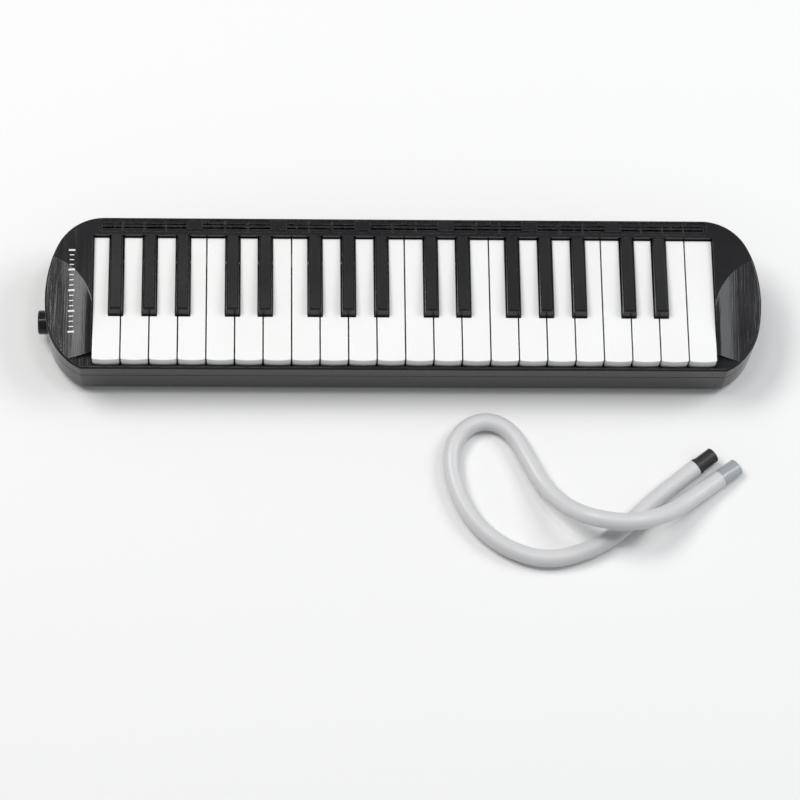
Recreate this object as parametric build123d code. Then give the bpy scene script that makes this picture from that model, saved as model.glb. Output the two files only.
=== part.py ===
from build123d import *
import os
from math import cos, pi, radians, sin, tan

# A melodica with 37 see-saw keys, F to F, and its blowing hose lying loose in front of it.
# Millimetres. X runs along the keyboard from the low notes (-X, where the mouthpiece socket is) to
# the high notes, -Y is the player's side and +Z is up. Heights count from the table. Lengths along X
# are written from the middle of the casing, and write() moves them to the middle of the whole
# instrument, socket included. The hose route is written in the moved frame itself.

# ---- Casing ---------------------------------------------------------------------------------
cheek_width = 28.2         # from the end of the keyboard to the widest point of the casing's end
half_depth = 46.4          # middle to the straight front and rear edges
rear_radius = 30.0         # each end is three tangent arcs: rear, side and front
front_radius = 36.0
end_headings = (65.0, 102.0, 154.6)   # degrees where the rear, side and front arcs end
corner_radius = 3.0        # eases the kink where an end meets the straight front
foot_height = 2.5
parting_height = 24.0      # where the upper and lower covers meet
rail_top = 45.0            # vent rail and the flat rear part of the cheeks
ledge_top = 35.0           # front rail
wall = 2.0
skin = 2.2                 # thickness of the covers' flat faces
rim_radius = 1.4           # rounded outer edge of the upper cover
sill_radius = 3.5          # rounded outer edge of the underside
seam_bevel = 0.35          # bevels that make the line between the covers

# ---- Keyboard -------------------------------------------------------------------------------
white_count = 22
white_pitch = 16.8
white_gap = 0.8
key_top = 42.0
key_front_gap = 0.7        # from the casing's front wall to the middle of a white key's front edge
key_front_bow = 0.6        # the front edge is slightly convex
key_rear_inset = 12.0      # from the casing's rear edge to the rear end of the keys
key_wall = 1.6
key_skin = 2.0
skirt_bottom = 33.0        # lower edge of the white keys' fronts and sides
tail_bottom = 36.0         # lower edge of everything behind the heads
head_length = 27.8
key_edge = 0.5
white_corner = 1.2
black_foot_width = 8.2
black_rear_width = 7.4
black_taper = 5.0          # degrees that the sides lean in
black_foot_gap = 1.0       # from the white heads to the front of a black key
black_brow = (1.2, 46.9)   # y from the foot, and z, where the front face turns into the bevel
black_crown = (2.5, 48.0)  # y from the foot, and z, where the bevel meets the top
black_rear_top = 45.6
black_edge = 0.9
black_clearance = 0.4
# How far each black key stands off the line between its white neighbours, in the order of the
# white keys F G A B C D E. None where two white keys meet with no black key between them.
black_offsets = (-2.9, 0.0, 2.9, None, -1.3, 1.2, None)
window_clearance = 0.4     # between the outer keys and the casing
window_rear_gap = 0.6

# ---- Key action -----------------------------------------------------------------------------
shaft_radius = 1.5
shaft_to_valve = 14.4      # along Y
shaft_z = 31.0
shaft_clearance = 0.05
seat_fit = 0.02            # a fixed piece in its seat
hub_wall = 1.9
lug_width = 6.0
lug_reach = (5.5, 5.0)     # in front of and behind the shaft
arm_height = 3.4
arm_overrun = 0.2          # behind the pad
pad_size = (6.4, 8.0, 2.0)
pad_gap = 0.05
bracket_thickness = 1.6
bracket_clearance = 0.8    # from the keyboard's end to the outermost brackets
bracket_depth = 8.0
bracket_rise = 3.2         # above the shaft's axis
bracket_seat = 2.0         # how far a bracket stands in the reed block
spring_wire = 0.5
spring_radius = 1.8
spring_turns = 5
spring_behind_valve = 1.5

# ---- Reeds and air chamber ------------------------------------------------------------------
chamber_overrun = 3.7      # beyond each end of the keyboard
chamber_front = -14.0
chamber_rear_gap = 2.1     # to the casing's rear wall
chamber_wall = 2.0
tray_bottom = 8.0
tray_floor = 1.6
tray_top = 15.0
gasket_thickness = 0.8
plate_thickness = 1.2
block_top = 26.5
block_skin = 2.0
cell_width = 6.2
cell_rear_wall = 2.2
valve_size = (4.4, 5.2)
valve_rear_lip = 0.1       # from the hole to the end of its cell
reed_end_gap = 2.1         # from the reed's tip to the end of its cell
reed_lengths = (34.0, 13.0)           # lowest and highest note
reed_width = 2.2
reed_side_gap = 0.15       # to the plate, each side
reed_thickness = 0.3
reed_root = 3.0            # the riveted length behind the free tongue
rivet_radius = 0.9
tab_size = (12.0, 9.0, 2.4)
tab_count = 6
tab_inset = 24.8           # from the keyboard's end to the first tab

# ---- Mouthpiece socket ----------------------------------------------------------------------
socket_y, socket_z = -9.5, 15.5
socket_radius = 7.2
socket_proud = 5.0         # beyond the widest point of the end
socket_bore = 4.75
socket_bore_length = 14.0
flange_lip = 1.3           # of the flange, around the socket
flange_thickness = 2.0
spigot_radius = 5.5
spigot_bore = 4.0
spigot_depth = 3.8         # how far it stands in the inlet
seal_thickness = 2.0
inlet_inset = 12.0         # from the widest point of the end to the chamber's inlet
inlet_half_width = 10.0
inlet_top = 23.5
hole_clearance = 0.2

# ---- Drain valve ----------------------------------------------------------------------------
drain_inset = 12.5         # from the chamber's end
drain_y = 14.0
drain_head = 4.2
drain_rim = (5.4, 0.85)    # radius and height
drain_stem = 1.4
drain_hole = 2.5
drain_recess = 0.2
drain_seal_size = (3.8, 1.0)
drain_cap = (2.2, 0.8)
drain_spring_radius = 2.6
drain_spring_wire = 0.35
drain_spring_turns = 2

# ---- Fasteners, feet and stops ---------------------------------------------------------------
post_radius = 3.5
screw_radius = 1.25
screw_head = (2.2, 1.5)    # radius and height
screw_clearance = 0.05
counterbore_radius = 2.7
cover_screw_top = 33.0
cover_screw_seat = 8.0
cover_spots = [(14.0, 14.0), (17.0, -27.0)]    # inset from the casing's end, and y
foot_radius = 5.5
foot_recess = 0.6
foot_insets = (48.0, 13.4)            # from the casing's end, and from its front and rear edges
stop_rail_depth = 10.0
stop_rail_inset = 0.9      # behind the keys' front edge
stop_rail_thickness = 2.5
stop_felt_inset = 0.5      # behind the rail's front edge
stop_felt_depth = 4.5
stop_felt_thickness = 1.8
stop_screw_inset = 8.6     # behind the keys' front edge

# ---- Vent rail ------------------------------------------------------------------------------
vent_end_inset = 3.2       # from the end of the keyboard
vent_insets = (9.2, 1.4)   # of its front and rear edges, from the casing's rear edge
vent_depth = 0.9
vent_corner = 2.6
vent_land = (9.6, 5.8)     # flush blocks between the groups of slots
vent_lands = 6
vent_land_pitch = 50.0
vent_land_inset = 4.6      # of their middle, from the casing's rear edge
vent_slot_inset = 1.9      # from the end of the recess
vent_slot_length = 13.4    # about; each group of slots is divided evenly
slot_rows = [(6.3, 1.3), (4.1, 0.9)]  # each row's inset from the rear edge, and its width
vent_rib = (1.0, 0.45)     # width and height of the ribs between slots
vent_rib_inset = 0.5

# ---- Cheek scoops ---------------------------------------------------------------------------
scoop_radius = 36.7
scoop_centre_offset = (8.5, 33.1)     # beyond the casing's end, and behind its front edge
scoop_slope = 0.165        # how fast the scoop falls towards the player
ledge_insets = (9.2, 5.0)  # from the front edge to the ledge's step, beside the keys and at its end
ledge_overlap = 0.8        # where the step starts, inside the keyboard's end
ledge_end_inset = 10.5     # where the slanted step ends, from the casing's end

# ---- Hose -----------------------------------------------------------------------------------
hose_radius = 5.25
hose_bore = 3.4
hose_floor = hose_radius + 0.05
hose_hump = 5 * hose_radius           # height of its axis where it lies over itself
connector_collar = (5.2, 2.0)
connector_pin = (4.7, 12.0)
connector_bore = 2.4
barb_length = 6.0          # of each fitting, inside the hose
mouthpiece_length = 14.0
mouthpiece_tip = (5.2, 3.6)           # half width and half height at the lips
mouthpiece_bore = 2.2
# Axis of the hose on the table, from its connector to its mouthpiece, in the frame of the part.
hose_route = [
    (176.4, -96.9, hose_floor),
    (163.0, -107.2, hose_floor),
    (148.2, -119.4, hose_floor),
    (131.0, -136.4, hose_floor),
    (111.0, -148.8, hose_floor),
    (88.0, -155.2, hose_floor),
    (65.6, -149.6, hose_floor),
    (47.0, -136.0, hose_floor),
    (35.6, -117.8, hose_floor),
    (30.4, -99.2, hose_floor),
    (31.2, -83.2, hose_floor),
    (39.8, -70.8, hose_floor),
    (54.2, -66.8, hose_floor),
    (67.6, -74.6, hose_floor),
    (76.2, -91.4, hose_floor),
    (84.4, -108.6, hose_floor + 2),
    (97.4, -125.6, hose_floor + 10),
    (115.0, -136.6, hose_hump),
    (137.0, -138.4, hose_hump),
    (157.6, -129.4, hose_floor + 10.5),
    (175.2, -115.6, hose_floor + 2),
    (190.8, -103.6, hose_floor),
]

# ---- Worked-out places ------------------------------------------------------------------------
centre_shift = socket_proud / 2
white_width = white_pitch - white_gap
keyboard_half = white_count * white_pitch / 2
half_length = keyboard_half + cheek_width
window_half = keyboard_half - white_gap / 2 + window_clearance
window_front = -half_depth + wall
key_front = window_front + key_front_gap
key_rear = half_depth - key_rear_inset
window_rear = key_rear + window_rear_gap
head_rear = key_front + head_length
black_foot = head_rear + black_foot_gap
chamber_half = keyboard_half + chamber_overrun
chamber_rear = half_depth - wall - chamber_rear_gap
cell_rear = chamber_rear - cell_rear_wall
valve_y = cell_rear - valve_rear_lip - valve_size[1] / 2
reed_tip = cell_rear - reed_end_gap
spring_y = valve_y + spring_behind_valve
shaft_y = valve_y - shaft_to_valve
arm_rear = valve_y + pad_size[1] / 2 + arm_overrun
arm_bottom = block_top + pad_gap + pad_size[2]
arm_top = arm_bottom + arm_height
block_bottom = tray_top + gasket_thickness
plate_top = block_bottom + plate_thickness
rail_underside = rail_top - skin
floor_top = foot_height + skin
tab_y = chamber_front - tab_size[1] / 2
tab_spots = [(keyboard_half - tab_inset) * (2 * number / (tab_count - 1) - 1)
             for number in range(tab_count)]
inlet_outer = inlet_inset - half_length
socket_mouth = -half_length - socket_proud
drain_place = (chamber_half - drain_inset, drain_y)
drain_seat = tray_bottom + tray_floor + seat_fit
drain_rim_top = floor_top + seat_fit + drain_rim[1]
stop_rail_bottom = parting_height
stop_rail_top = stop_rail_bottom + stop_rail_thickness
stop_screw_y = key_front + stop_screw_inset


def block(x0, x1, y0, y1, z0, z1):
    """A box given by its two corners."""
    middle = Pos((x0 + x1) / 2, (y0 + y1) / 2, (z0 + z1) / 2)
    return middle * Box(abs(x1 - x0), abs(y1 - y0), abs(z1 - z0))


def prism(points, z0, z1):
    """An upright prism over the given corners, whichever way round they run."""
    plan = Pos(0, 0, z0) * Polygon(*points, align=None)
    return Solid.extrude(plan.face(), Vector(0, 0, z1 - z0))


def post(x, y, z0, z1, radius):
    """An upright cylinder from z0 to z1."""
    return Pos(x, y, (z0 + z1) / 2) * Cylinder(radius, z1 - z0)


def crossbar(x0, x1, y, z, radius):
    """A cylinder along X."""
    return Pos((x0 + x1) / 2, y, z) * Rot(0, 90, 0) * Cylinder(radius, x1 - x0)


def both_ends(shape):
    """A shape and its mirror image at the other end of the casing."""
    return [shape, mirror(shape, about=Plane.YZ)]


def screw_spots():
    """Where the cover screws stand, at both ends."""
    return [(side * (half_length - inset), y) for side in (-1, 1) for inset, y in cover_spots]


def foot_spots():
    x, y = half_length - foot_insets[0], half_depth - foot_insets[1]
    return [(-x, -y), (-x, y), (x, -y), (x, y)]


def write(name, *shapes, shift=centre_shift):
    """Writes one node, moved from the casing's frame to the part's."""
    solids = [Pos(shift, 0, 0) * solid for shape in shapes for solid in shape.solids()]
    node = solids[0] if len(solids) == 1 else Compound(children=solids)
    node.label = name
    export_step(node, os.path.join("parts", name + ".step"))


# ---- Casing outline ---------------------------------------------------------------------------
def end_arcs():
    """Centre, radius, first and last heading of each arc of the right end, from rear to front."""
    rear_turn, side_turn, front_turn = (radians(heading) for heading in end_headings)
    rear_part = rear_radius * (1 - cos(rear_turn))
    front_part = front_radius * (cos(side_turn) - cos(front_turn))
    side_part = 2 * half_depth - rear_part - front_part
    side_radius = side_part / (cos(rear_turn) - cos(side_turn))

    def handed_over(centre, radius, next_radius, turn):
        return centre + Vector(sin(turn), cos(turn)) * (radius - next_radius)

    middle_x = half_length - side_radius + (side_radius - rear_radius) * sin(rear_turn)
    rear = Vector(middle_x, half_depth - rear_radius)
    side = handed_over(rear, rear_radius, side_radius, rear_turn)
    front = handed_over(side, side_radius, front_radius, side_turn)
    return [
        (rear, rear_radius, 0, rear_turn),
        (side, side_radius, rear_turn, side_turn),
        (front, front_radius, side_turn, front_turn),
    ]


def on_arc(arc, share):
    """The point at a share of the way along one of the end arcs."""
    centre, radius, first, last = arc
    heading = first + (last - first) * share
    return centre + Vector(sin(heading), cos(heading)) * radius


def body_outline():
    """The casing seen from above."""
    arcs = end_arcs()
    right = [ThreePointArc(*(on_arc(arc, share) for share in (0, 0.5, 1))) for arc in arcs]
    left = [mirror(edge, about=Plane.YZ) for edge in right]
    rear, front = on_arc(arcs[0], 0), on_arc(arcs[-1], 1)
    rear_edge = Line((-rear.X, rear.Y), (rear.X, rear.Y))
    front_edge = Line((-front.X, front.Y), (front.X, front.Y))
    plan = make_face([*right, *left, rear_edge, front_edge])
    return fillet(plan.vertices().group_by(Axis.Y)[0], corner_radius)


outline = body_outline()
inner_outline = offset(outline, amount=-wall)


# ---- Where the keys stand ---------------------------------------------------------------------
def white_centre(number):
    return (number + 0.5) * white_pitch - keyboard_half


def black_between(number):
    """The offset of the black key between a white key and the next, or None."""
    if 0 <= number < white_count - 1:
        return black_offsets[number % len(black_offsets)]
    return None


def tail_edges(number):
    """The sides of a white key's tail, from the middle of its head."""
    bite = black_foot_width / 2 + black_clearance
    left, right = -white_width / 2, white_width / 2
    if black_between(number - 1) is not None:
        left = -white_pitch / 2 + black_between(number - 1) + bite
    if black_between(number) is not None:
        right = white_pitch / 2 + black_between(number) - bite
    return left, right


def tail_centre(number):
    return sum(tail_edges(number)) / 2


black_centres = [
    white_centre(number) + white_pitch / 2 + black_between(number)
    for number in range(white_count)
    if black_between(number) is not None
]
white_arms = [white_centre(number) + tail_centre(number) for number in range(white_count)]
arm_centres = sorted(white_arms + black_centres)
# Lines between neighbouring white keys with no black key: room for a bracket or a rib.
free_lines = [
    white_centre(number) + white_pitch / 2
    for number in range(white_count - 1)
    if black_between(number) is None
]
outer_bracket = keyboard_half + bracket_clearance + bracket_thickness / 2
bracket_lines = [-outer_bracket, *free_lines, outer_bracket]


# ---- Covers -----------------------------------------------------------------------------------
def scoops(drop):
    """What the two cheek scoops take off the casing, lowered by drop."""
    over, under = 6.0, 16.0
    x, y = half_length + scoop_centre_offset[0], scoop_centre_offset[1] - half_depth
    bowl = Circle(scoop_radius) + Pos(0, -half_depth) * Rectangle(2 * scoop_radius, 2 * half_depth)
    start = Pos(x, y + over / scoop_slope, rail_top + over - drop)
    fall = Vector(0, -1 / scoop_slope, -1) * (over + under)
    return both_ends(Solid.extrude((start * bowl).face(), fall))


def ledge_zone(z0, behind):
    """Everything above z0 in front of the step down to the front ledge, moved back by behind."""
    x1, y1 = keyboard_half - ledge_overlap, ledge_insets[0] - half_depth
    x2, y2 = half_length - ledge_end_inset, ledge_insets[1] - half_depth
    far = half_length + 1
    step = [(-far, y2), (-x2, y2), (-x1, y1), (x1, y1), (x2, y2), (far, y2)]
    step = [(x, y + behind) for x, y in step]
    return prism([*step, (far, -half_depth - 1), (-far, -half_depth - 1)], z0, rail_top + 1)


def rim_edges(cover, z0, z1):
    """The outer edges of the cover whose middle is between two heights."""
    border = outline.wires()[0]

    def on_rim(edge):
        middle = edge @ 0.5
        upright = abs((edge % 0.5).Z) > 0.8
        aside = border.distance_to(Vector(middle.X, middle.Y, 0)) > 0.05
        return z0 < middle.Z < z1 and not upright and not aside

    return [edge for edge in cover.edges() if on_rim(edge)]


def upper_body():
    """The upper cover before it is hollowed: scooped cheeks, front ledge and rounded rim."""
    body = extrude(Pos(0, 0, parting_height) * outline, rail_top - parting_height)
    body = body - scoops(0) - ledge_zone(0, 0)
    body = fillet(rim_edges(body, rail_top - 0.1, rail_top + 0.1), rim_radius)
    body = fillet(rim_edges(body, ledge_top, rail_top - rim_radius - 0.1), rim_radius - 0.1)
    front = extrude(Pos(0, 0, parting_height) * outline, ledge_top - parting_height)
    front = fillet(front.edges().group_by(Axis.Z)[-1], rim_radius - 0.1)
    body += front & ledge_zone(0, 0)
    return chamfer(body.edges().group_by(Axis.Z)[0], seam_bevel)


def vent_slots():
    """Slots through the rail, and the ribs and flush blocks that stay between them."""
    half_land = vent_land[0] / 2
    slot_half = keyboard_half - vent_end_inset - vent_slot_inset
    front, rear = (half_depth - inset for inset in vent_insets)
    land_y = half_depth - vent_land_inset
    lands = [(n + 0.5) * vent_land_pitch for n in range(-vent_lands // 2, vent_lands // 2)]
    starts = [-slot_half, *[x + half_land for x in lands]]
    ends = [*[x - half_land for x in lands], slot_half]
    floor = rail_top - vent_depth
    slots, ribs = [], []
    for x0, x1 in zip(starts, ends):
        count = round((x1 - x0) / vent_slot_length)
        pitch = (x1 - x0 + vent_rib[0]) / count
        for slot in range(count):
            left = x0 + slot * pitch
            slots += [block(left, left + pitch - vent_rib[0], half_depth - inset - width / 2,
                            half_depth - inset + width / 2, rail_underside - 1, rail_top)
                      for inset, width in slot_rows]
        ribs += [block(x0 + slot * pitch - vent_rib[0], x0 + slot * pitch,
                       front + vent_rib_inset, rear - vent_rib_inset, floor - 0.2,
                       floor + vent_rib[1]) for slot in range(1, count)]
    blocks = [block(x - half_land, x + half_land, land_y - vent_land[1] / 2,
                    land_y + vent_land[1] / 2, rail_underside, rail_top) for x in lands]
    return slots, ribs, blocks


def upper_cover():
    body = upper_body()
    hollow = extrude(Pos(0, 0, parting_height - 1) * inner_outline,
                     rail_underside - parting_height + 1)
    hollow = hollow - scoops(skin) - ledge_zone(ledge_top - skin, skin)
    shell = body - hollow
    keys_hole = block(-window_half, window_half, window_front, window_rear,
                      parting_height - 1, rail_top + 1)
    flange = block(-window_half - key_wall, window_half + key_wall, window_front,
                   window_rear + key_wall, tail_bottom - 1.5, rail_top)
    rear_gap = block(-window_half, window_half, window_rear, window_rear + key_wall,
                     0, tail_bottom + 1)
    posts = [post(x, y, parting_height, rail_top, post_radius) for x, y in screw_spots()]
    ribs = [block(x - 1.2, x + 1.2, arm_rear + 0.6, half_depth - 0.5, block_top, rail_top)
            for x in free_lines]
    inside = (Part() + posts + ribs + flange) & (body - keys_hole - rear_gap)
    slots, slot_ribs, lands = vent_slots()
    front, rear = (half_depth - inset for inset in vent_insets)
    recess = Rectangle(2 * (keyboard_half - vent_end_inset), rear - front)
    recess = fillet(recess.vertices(), vent_corner)
    recess = extrude(Pos(0, (rear + front) / 2, rail_top - vent_depth) * recess, 5)
    shell = shell - keys_hole - recess + inside
    shell = shell + slot_ribs - slots + lands
    pilots = [post(x, y, parting_height - 1, cover_screw_top + 0.5,
                   screw_radius + screw_clearance) for x, y in screw_spots()]
    return shell - pilots - socket_hole()


def socket_hole():
    return crossbar(-half_length - 1, inlet_outer - seal_thickness - 2 * flange_thickness,
                    socket_y, socket_z, socket_radius + hole_clearance)


def lower_cover():
    body = extrude(Pos(0, 0, foot_height) * outline, parting_height - foot_height)
    body = fillet(body.edges().group_by(Axis.Z)[0], sill_radius)
    body = chamfer(body.edges().group_by(Axis.Z)[-1], seam_bevel)
    body -= extrude(Pos(0, 0, floor_top) * inner_outline, parting_height)
    hole = screw_radius + screw_clearance
    for x, y in screw_spots():
        body += post(x, y, floor_top, parting_height, post_radius)
        body -= post(x, y, 0, cover_screw_seat, counterbore_radius)
        body -= post(x, y, 0, parting_height + 1, hole)
    for x in tab_spots:
        top = tray_top - tab_size[2]
        body += post(x, tab_y, floor_top, top, post_radius)
        body -= post(x, tab_y, floor_top + 1, top + 1, hole)
        top = stop_rail_bottom
        body += post(x, stop_screw_y, floor_top, top, post_radius)
        body -= post(x, stop_screw_y, floor_top + 1, top + 1, hole)
    for x in free_lines:
        body += block(x - 1, x + 1, chamber_front + 4, chamber_rear - 4, floor_top, tray_bottom)
    body -= [post(x, y, 0, foot_height + foot_recess, foot_radius + hole_clearance)
             for x, y in foot_spots()]
    body -= post(*drain_place, 0, floor_top + 1, drain_head + hole_clearance)
    return body - socket_hole()


# ---- Reeds and air chamber --------------------------------------------------------------------
def reed_length(number):
    """Free length of a reed, from the lowest note to the highest."""
    low, high = reed_lengths
    return low + (high - low) * number / (len(arm_centres) - 1)


def tabs(z0, z1):
    return [block(x - tab_size[0] / 2, x + tab_size[0] / 2, chamber_front - tab_size[1],
                  chamber_front + 1, z0, z1) for x in tab_spots]


def tab_holes(z0, z1):
    return [post(x, tab_y, z0, z1, screw_radius + screw_clearance) for x in tab_spots]


def chamber_plan(inset, z0, z1):
    """The chamber's footprint, made smaller all round by inset."""
    return block(-chamber_half + inset, chamber_half - inset, chamber_front + inset,
                 chamber_rear - inset, z0, z1)


def reed_block():
    body = chamber_plan(0, block_bottom, block_top) + tabs(block_bottom, block_bottom + tab_size[2])
    body -= chamber_plan(chamber_wall, block_bottom - 1, plate_top)
    half = cell_width / 2
    cells, valves = [], []
    for number, x in enumerate(arm_centres):
        front = reed_tip - reed_length(number) - reed_root - 1
        cells.append(block(x - half, x + half, front, cell_rear, block_bottom,
                           block_top - block_skin))
        valves.append(block(x - valve_size[0] / 2, x + valve_size[0] / 2,
                            valve_y - valve_size[1] / 2, valve_y + valve_size[1] / 2,
                            block_bottom, block_top + 1))
    seats = [block(x - bracket_thickness / 2 - seat_fit, x + bracket_thickness / 2 + seat_fit,
                   shaft_y - bracket_depth / 2 - seat_fit, shaft_y + bracket_depth / 2 + seat_fit,
                   block_top - bracket_seat, block_top + 1) for x in bracket_lines]
    return body - cells - valves - seats - tab_holes(block_bottom - 1, block_top)


def reed_plates():
    """Two plates side by side, with a slot over each reed."""
    gap = seat_fit + chamber_wall
    halves = [(-chamber_half + gap, -seat_fit), (seat_fit, chamber_half - gap)]
    slots = []
    for number, x in enumerate(arm_centres):
        half = reed_width / 2 + reed_side_gap
        slots.append(block(x - half, x + half, reed_tip - reed_length(number) + 1,
                           reed_tip + 0.3, block_bottom - 1, plate_top + 1))
    return [block(x0, x1, chamber_front + gap, chamber_rear - gap, block_bottom, plate_top) - slots
            for x0, x1 in halves]


def reeds():
    tongues = []
    for number, x in enumerate(arm_centres):
        root = reed_tip - reed_length(number)
        tongue = block(x - reed_width / 2, x + reed_width / 2, root - reed_root, reed_tip,
                       block_bottom - reed_thickness, block_bottom)
        rivet = post(x, root - reed_root / 2, block_bottom - 3 * reed_thickness,
                     block_bottom, rivet_radius)
        tongues.append(tongue + rivet)
    return tongues


def chamber_tray():
    body = chamber_plan(0, tray_bottom, tray_top) + tabs(tray_top - tab_size[2], tray_top)
    body += block(inlet_outer, -chamber_half, socket_y - inlet_half_width,
                  socket_y + inlet_half_width, tray_bottom, inlet_top)
    body -= chamber_plan(chamber_wall, tray_bottom + tray_floor, tray_top + 1)
    room = inlet_half_width - chamber_wall
    floor = tray_bottom + tray_floor
    inner = inlet_outer + spigot_depth + seat_fit
    body -= block(inner, -chamber_half - chamber_wall, socket_y - room, socket_y + room,
                  floor, inlet_top - chamber_wall)
    body -= block(inner, -chamber_half + chamber_wall + 1, chamber_front + chamber_wall,
                  socket_y + room, floor, tray_top - chamber_wall)
    body -= crossbar(inlet_outer - 1, inner + 1, socket_y, socket_z, spigot_radius + seat_fit)
    body -= post(*drain_place, tray_bottom - 1, floor + 1, drain_hole)
    return body - tab_holes(tray_bottom, tray_top + 1)


def chamber_gasket():
    return (chamber_plan(0, tray_top, block_bottom)
            - chamber_plan(chamber_wall, tray_top - 1, block_bottom + 1))


def mouthpiece_socket():
    """A round stub through the left end, with a flange inside and a spigot into the chamber."""
    face = inlet_outer - seal_thickness
    tube = crossbar(socket_mouth, face, socket_y, socket_z, socket_radius)
    tube = chamfer(tube.edges().group_by(Axis.X)[0], 0.6)
    tube += crossbar(face - flange_thickness, face, socket_y, socket_z, socket_radius + flange_lip)
    tube += crossbar(face - 1, inlet_outer + spigot_depth, socket_y, socket_z, spigot_radius)
    tube -= crossbar(socket_mouth - 1, socket_mouth + socket_bore_length, socket_y, socket_z,
                     socket_bore)
    return tube - crossbar(socket_mouth, 0, socket_y, socket_z, spigot_bore)


def socket_seal():
    start = inlet_outer - seal_thickness
    ring = crossbar(start, inlet_outer, socket_y, socket_z, socket_radius)
    return ring - crossbar(start - 1, 0, socket_y, socket_z, spigot_radius + seat_fit)


# ---- Drain valve ------------------------------------------------------------------------------
def drain_button():
    """A push button in the underside that lifts its seal off a hole in the tray."""
    x, y = drain_place
    rim_radius_outer, rim_height = drain_rim
    bottom = foot_height + drain_recess
    rim_bottom = floor_top + seat_fit
    seal_top = drain_seat + drain_seal_size[1]
    head = post(x, y, bottom, rim_bottom + rim_height, drain_head)
    head = fillet(head.edges().group_by(Axis.Z)[0], 0.5)
    head += post(x, y, rim_bottom, rim_bottom + rim_height, rim_radius_outer)
    return (head + post(x, y, rim_bottom, seal_top + drain_cap[1], drain_stem)
            + post(x, y, seal_top, seal_top + drain_cap[1], drain_cap[0]))


def drain_seal():
    x, y = drain_place
    radius, thickness = drain_seal_size
    disc = post(x, y, drain_seat, drain_seat + thickness, radius)
    return disc - post(x, y, 0, drain_seat + thickness + 1, drain_stem + seat_fit)


def coil(x, y, z0, z1, radius, wire, turns):
    """A compression spring standing between two heights."""
    path = Helix(pitch=(z1 - z0 - 2 * wire) / turns, height=z1 - z0 - 2 * wire, radius=radius)
    section = Plane(origin=path @ 0, z_dir=path % 0) * Circle(wire / 2)
    return Pos(x, y, z0 + wire) * sweep(section, path=path)


# ---- Keys -------------------------------------------------------------------------------------
def action(x, top):
    """Lug, hub and rear arm of one key: what rocks on the shaft and carries the pad."""
    half = lug_width / 2
    front, rear = lug_reach
    body = block(x - half, x + half, shaft_y - front, shaft_y + rear, shaft_z, top)
    body += crossbar(x - half, x + half, shaft_y, shaft_z, shaft_radius + hub_wall)
    body += block(x - half, x + half, shaft_y, arm_rear, arm_bottom, arm_top)
    return body - crossbar(x - half - 1, x + half + 1, shaft_y, shaft_z,
                           shaft_radius + shaft_clearance)


def pad(x):
    width, depth, thickness = pad_size
    return block(x - width / 2, x + width / 2, valve_y - depth / 2, valve_y + depth / 2,
                 arm_bottom - thickness, arm_bottom)


def white_plan(number):
    """One white key from above, with the notches that its black neighbours need."""
    left, right = tail_edges(number)
    half = white_width / 2
    corner = key_front + key_front_bow
    front = ThreePointArc((-half, corner), (0, key_front), (half, corner))
    sides = Polyline((half, corner), (half, head_rear), (-half, head_rear), (-half, corner))
    head = make_face([front, sides])
    head = fillet(head.vertices().group_by(Axis.Y)[0], white_corner)
    tail = Rectangle(right - left, key_rear - head_rear)
    return head + Pos((left + right) / 2, (head_rear + key_rear) / 2) * tail


def white_key(number):
    plan = white_plan(number)
    body = extrude(Pos(0, 0, skirt_bottom) * plan, key_top - skirt_bottom)
    body = fillet(body.edges().group_by(Axis.Z)[-1], key_edge)
    left, right = tail_edges(number)
    half = white_width / 2
    roof = key_top - key_skin
    body -= block(-half + key_wall, half - key_wall, key_front + key_front_bow + key_wall,
                  head_rear - key_wall, 0, roof)
    body -= block(left + key_wall, right - key_wall, head_rear - 2 * key_wall,
                  key_rear - key_wall, 0, roof)
    body -= block(-half - 1, half + 1, head_rear, key_rear + 1, 0, tail_bottom)
    x = tail_centre(number)
    place = Pos(white_centre(number), 0, 0)
    return place * (body + action(x, roof + 0.5)), place * pad(x)


def black_key(x):
    front, rear = black_foot_width / 2, black_rear_width / 2
    back = key_rear + 2
    plan = Polygon((-front, black_foot), (front, black_foot), (rear, back), (-rear, back),
                   align=None)
    body = extrude(Pos(0, 0, tail_bottom) * plan, key_top - tail_bottom)
    body += extrude(Pos(0, 0, key_top) * plan, black_crown[1] - key_top + 1, taper=black_taper)
    brow, crown = ((black_foot + y, z) for y, z in (black_brow, black_crown))
    side = Polygon((black_foot, tail_bottom), (black_foot, key_top), brow, crown,
                   (key_rear, black_rear_top), (key_rear, tail_bottom), align=None)
    body &= extrude(Plane.YZ * side, black_foot_width, both=True)
    top = [face for face in body.faces() if face.normal_at().Z > 0.9][-1]
    ridges = sorted(top.edges(), key=lambda edge: edge.length)[-2:]
    body = chamfer(ridges, black_edge)
    roof = key_top + 0.5
    body -= block(-rear + key_wall, rear - key_wall, black_foot + 2 * key_wall,
                  key_rear - key_wall, 0, roof)
    place = Pos(x, 0, 0)
    return place * (body + action(0, roof + 0.5)), place * pad(x=0)


def shaft_brackets():
    hole = crossbar(-chamber_half, chamber_half, shaft_y, shaft_z, shaft_radius + seat_fit)
    return [block(x - bracket_thickness / 2, x + bracket_thickness / 2,
                  shaft_y - bracket_depth / 2, shaft_y + bracket_depth / 2,
                  block_top - bracket_seat, shaft_z + bracket_rise) - hole
            for x in bracket_lines]


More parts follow.
